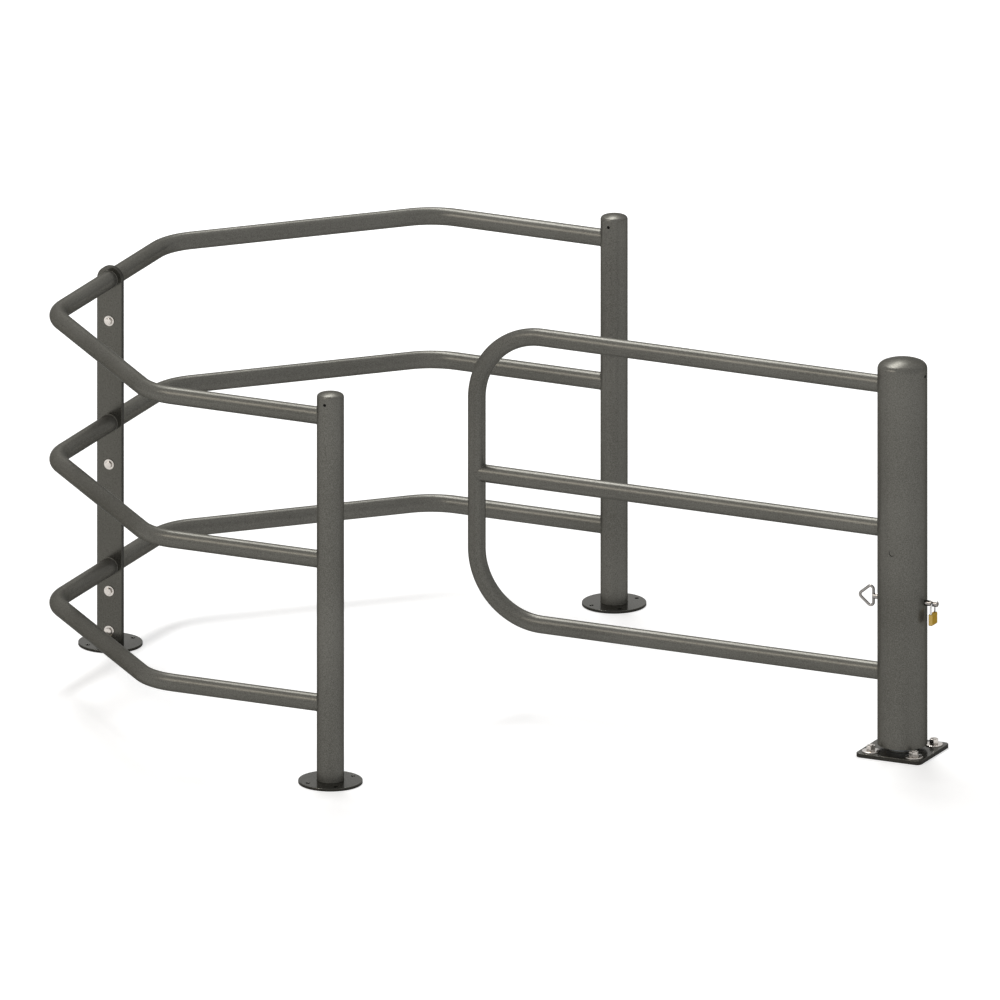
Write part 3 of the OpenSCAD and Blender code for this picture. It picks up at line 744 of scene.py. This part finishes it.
def fasteners(repeats):
    """Anchor studs with nuts and large washers, and the bolts that clamp the two joint plates."""
    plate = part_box("base_plate")[1].z
    anchors = [(x, y, 0) for y in (-ANCHORS, ANCHORS) for x in (-ANCHORS, ANCHORS)]
    bolts = [(middle("joint_washers")[0].x, 0, z) for z in joint_levels()]
    up, left, right = (0, 0, 0), (pi / 2, 0, 0), (-pi / 2, 0, 0)

    def fix(name, part, places, facing, seed, replaced, crease=24):
        pattern = bpy.data.objects.new(name, part)
        mesh = run_tree(repeats, name, points_mesh("places", places), ZINC,
                        Part=pattern, Facing=facing, Seed=seed)
        bpy.data.objects.remove(pattern)
        hang(name, mesh, "fixed_frame", replaced, crease)

    def nut(name, flats, height, bore):
        lead = 0.8 * MM
        shoulder = CHAMFER * flats
        return lathe(name, [circle(bore, lead), circle(bore + lead, 0), circle(shoulder, 0),
                            hexagon(flats, 0, -1), hexagon(flats, height, 1), circle(shoulder, height),
                            circle(bore + lead, height), circle(bore, height - lead)], ZINC, hollow=True)

    def washer(name, radius, bore, thickness):
        r = 0.5 * MM
        return lathe(name, [circle(bore, 0), circle(radius - 0.1 * MM, 0), circle(radius, 0.2 * MM),
                            circle(radius, thickness - r), circle(radius - 0.3 * r, thickness - 0.3 * r),
                            circle(radius - r, thickness), circle(bore + 0.2 * MM, thickness),
                            circle(bore, thickness - 0.3 * MM)], ZINC, hollow=True)

    # The anchors. A stud's thread starts inside its nut, and all below it is hidden.
    washer_thickness = 3 * MM
    turns = screw_thread(radius=8 * MM, pitch=2 * MM, foot=26 * MM, tip=31.8 * MM)
    studs = lathe("stud", [circle(6.9 * MM, 0), *turns], ZINC)
    fix("anchor_studs_threaded", studs, anchors, up, 3, ["anchor_studs"])
    anchor_nut = nut("nut", flats=24 * MM, height=14.72 * MM, bore=7.6 * MM)
    anchor_nut.transform(Matrix.Translation((0, 0, plate + washer_thickness)))
    fix("anchor_nuts_hex", anchor_nut, anchors, up, 3, ["anchor_nuts"])
    anchor_washer = washer("washer", radius=25 * MM, bore=8.5 * MM, thickness=washer_thickness)
    anchor_washer.transform(Matrix.Translation((0, 0, plate)))
    fix("anchor_washers_round", anchor_washer, anchors, up, 5, ["anchor_washers"])

    # The joint bolts: how far from the middle of the two plates their outer faces and the seats of
    # head and nut lie, the head's height, the width across flats, and the head's round faces.
    clamped, seat, head, across, disc = 8 * MM, 10.5 * MM, 7.5 * MM, 18 * MM, 8.6 * MM
    shank = 6 * MM
    turns = screw_thread(radius=shank, pitch=1.75 * MM, foot=clamped, tip=22.6 * MM)
    bolt = lathe("bolt", [*reversed([lambda t, at=at: (at(t)[0], -at(t)[1]) for at in turns]),
                          circle(shank, -7 * MM), circle(shank, seat), circle(disc, seat),
                          circle(disc, seat + 0.5 * MM), hexagon(across, seat + 0.5 * MM),
                          hexagon(across, seat + head, 1), circle(disc, seat + head)], ZINC)
    fix("joint_bolts_hex", bolt, bolts, left, 11, ["joint_bolts"])
    joint_nut = nut("nut", flats=across, height=10.2 * MM, bore=5.7 * MM)
    joint_nut.transform(Matrix.Translation((0, 0, seat)))
    fix("joint_nuts_hex", joint_nut, bolts, right, 17, ["joint_nuts"])
    joint_washer = washer("washer", radius=15 * MM, bore=6.5 * MM, thickness=2.5 * MM)
    joint_washer.transform(Matrix.Translation((0, 0, clamped)))
    fix("joint_washers_left", joint_washer, bolts, left, 0, ["joint_washers"])
    fix("joint_washers_right", joint_washer, bolts, right, 0, ["joint_washers"])


def lock_pin_handle(tubes):
    """The bent wire ring on the pin, and the domed weld, ground smooth, that joins the two."""
    wire, half_height, depth = 8 * MM, 38 * MM, 46 * MM
    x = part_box("pin_handle")[1].x - wire / 2 - PLAY
    z = middle("lock_pin")[0].z
    corners = [(x, 0, z + half_height), (x - depth, 0, z), (x, 0, z - half_height)]
    mesh = run_tree(tubes, "pin_handle_wire", line_mesh("path", corners, closed=True), STAINLESS,
                    Diameter=wire, Bend_radius=9 * MM, Bend_steps=14)
    hang("pin_handle_wire", mesh, "leaf", ["pin_handle"])
    profile = ((7.95, -3), (7.95, 0), (7.6, 0.8), (6.6, 1.4), (4.6, 1.8), (2.2, 2.0))
    rings = [circle(radius * MM, height * MM) for radius, height in profile]
    dome = lathe("pin_handle_weld", rings, STAINLESS)
    dome.transform(Matrix.Translation((x, 0, z)) @ Matrix.Rotation(-pi / 2, 4, "Y"))
    hang("pin_handle_weld", dome, "leaf", crease=60)


def guide_plug():
    """The guide screw, painted over in its hole: the coat has filled its socket almost flush."""
    low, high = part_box("guide_screw")
    face, z = -low.y, (low.z + high.z) / 2
    tip, shoulder = 4 * MM, 50.4 * MM
    mesh = lathe("guide_screw_painted", [
        circle(tip, -high.y), circle(tip, shoulder), circle(9 * MM, shoulder), circle(9 * MM, face - 1 * MM),
        circle(8.7 * MM, face - 0.4 * MM), circle(7.9 * MM, face), circle(4.4 * MM, face),
        hexagon(7 * MM, face - 0.3 * MM), hexagon(6 * MM, face - 0.7 * MM)], COAT)
    mesh.transform(Matrix.Translation((0, 0, z)) @ Matrix.Rotation(pi / 2, 4, "X"))
    hang("guide_screw_painted", mesh, "leaf", ["guide_screw"], 50)


def vent_shade_plugs():
    """Black plugs pressed into the vent holes of the posts and the sleeve: painted shade, a dark stand-in for
    the shade inside the holes.
    """
    profile = ((3.1, -4), (3.1, -0.6), (4.2, -0.5), (4.2, 0.6), (3.4, 1.1), (1.6, 1.2))
    rings = [circle(radius * MM, height * MM) for radius, height in profile]
    for name, cap, body, azimuth in (("left", "post_cap_left", "fixed_frame", 0),
                                     ("right", "post_cap_right", "fixed_frame", 0),
                                     ("sleeve", "sleeve_cap", "leaf", 90)):
        centre, half = middle(cap)
        shade_plug = lathe(f"vent_plug_{name}", rings, SHADE_RUBBER, steps=24)
        axis = Matrix.Translation((centre.x, centre.y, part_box(cap)[0].z - VENT_DROP))
        outward = Matrix.Rotation(radians(azimuth), 4, "Z") @ Matrix.Translation((0, -half.y, 0))
        shade_plug.transform(axis @ outward @ Matrix.Rotation(pi / 2, 4, "X"))
        hang(f"vent_plug_{name}", shade_plug, body, crease=50)


def dress_cad_nodes():
    """Every node gets the finish of its slot in the record, but for the polished lock pin."""
    slots = {row["node"]: row["material_slot"] for row in frame["record"]["subparts"]}
    for name, thing in frame["nodes"].items():
        finish = STAINLESS if name == "lock_pin" else FINISH_OF_SLOT[slots[name]]
        thing.data.materials.clear()
        thing.data.materials.append(finish)


bpy.context.scene.view_settings.view_transform = "Standard"
place_camera()
light_world()
lay_floor()
soft_box("top_light", azimuth=-143, elevation=54, width=30, height=9, radiance=25, lean=36)
soft_box("front_light", azimuth=-32, elevation=40, width=26, height=14, radiance=6, colour="#FFF6EA")
soft_box("wide_fill", azimuth=25, elevation=16, width=70, height=30, radiance=1.3, mirrored=False)
dress_cad_nodes()
tubes = bent_tube_tree()
enclosure_rails(tubes)
leaf_rails(tubes)
flanges()
base_square()
joint_bars()
welds(weld_tree())
fasteners(repeat_tree())
lock_pin_handle(tubes)
guide_plug()
vent_shade_plugs()
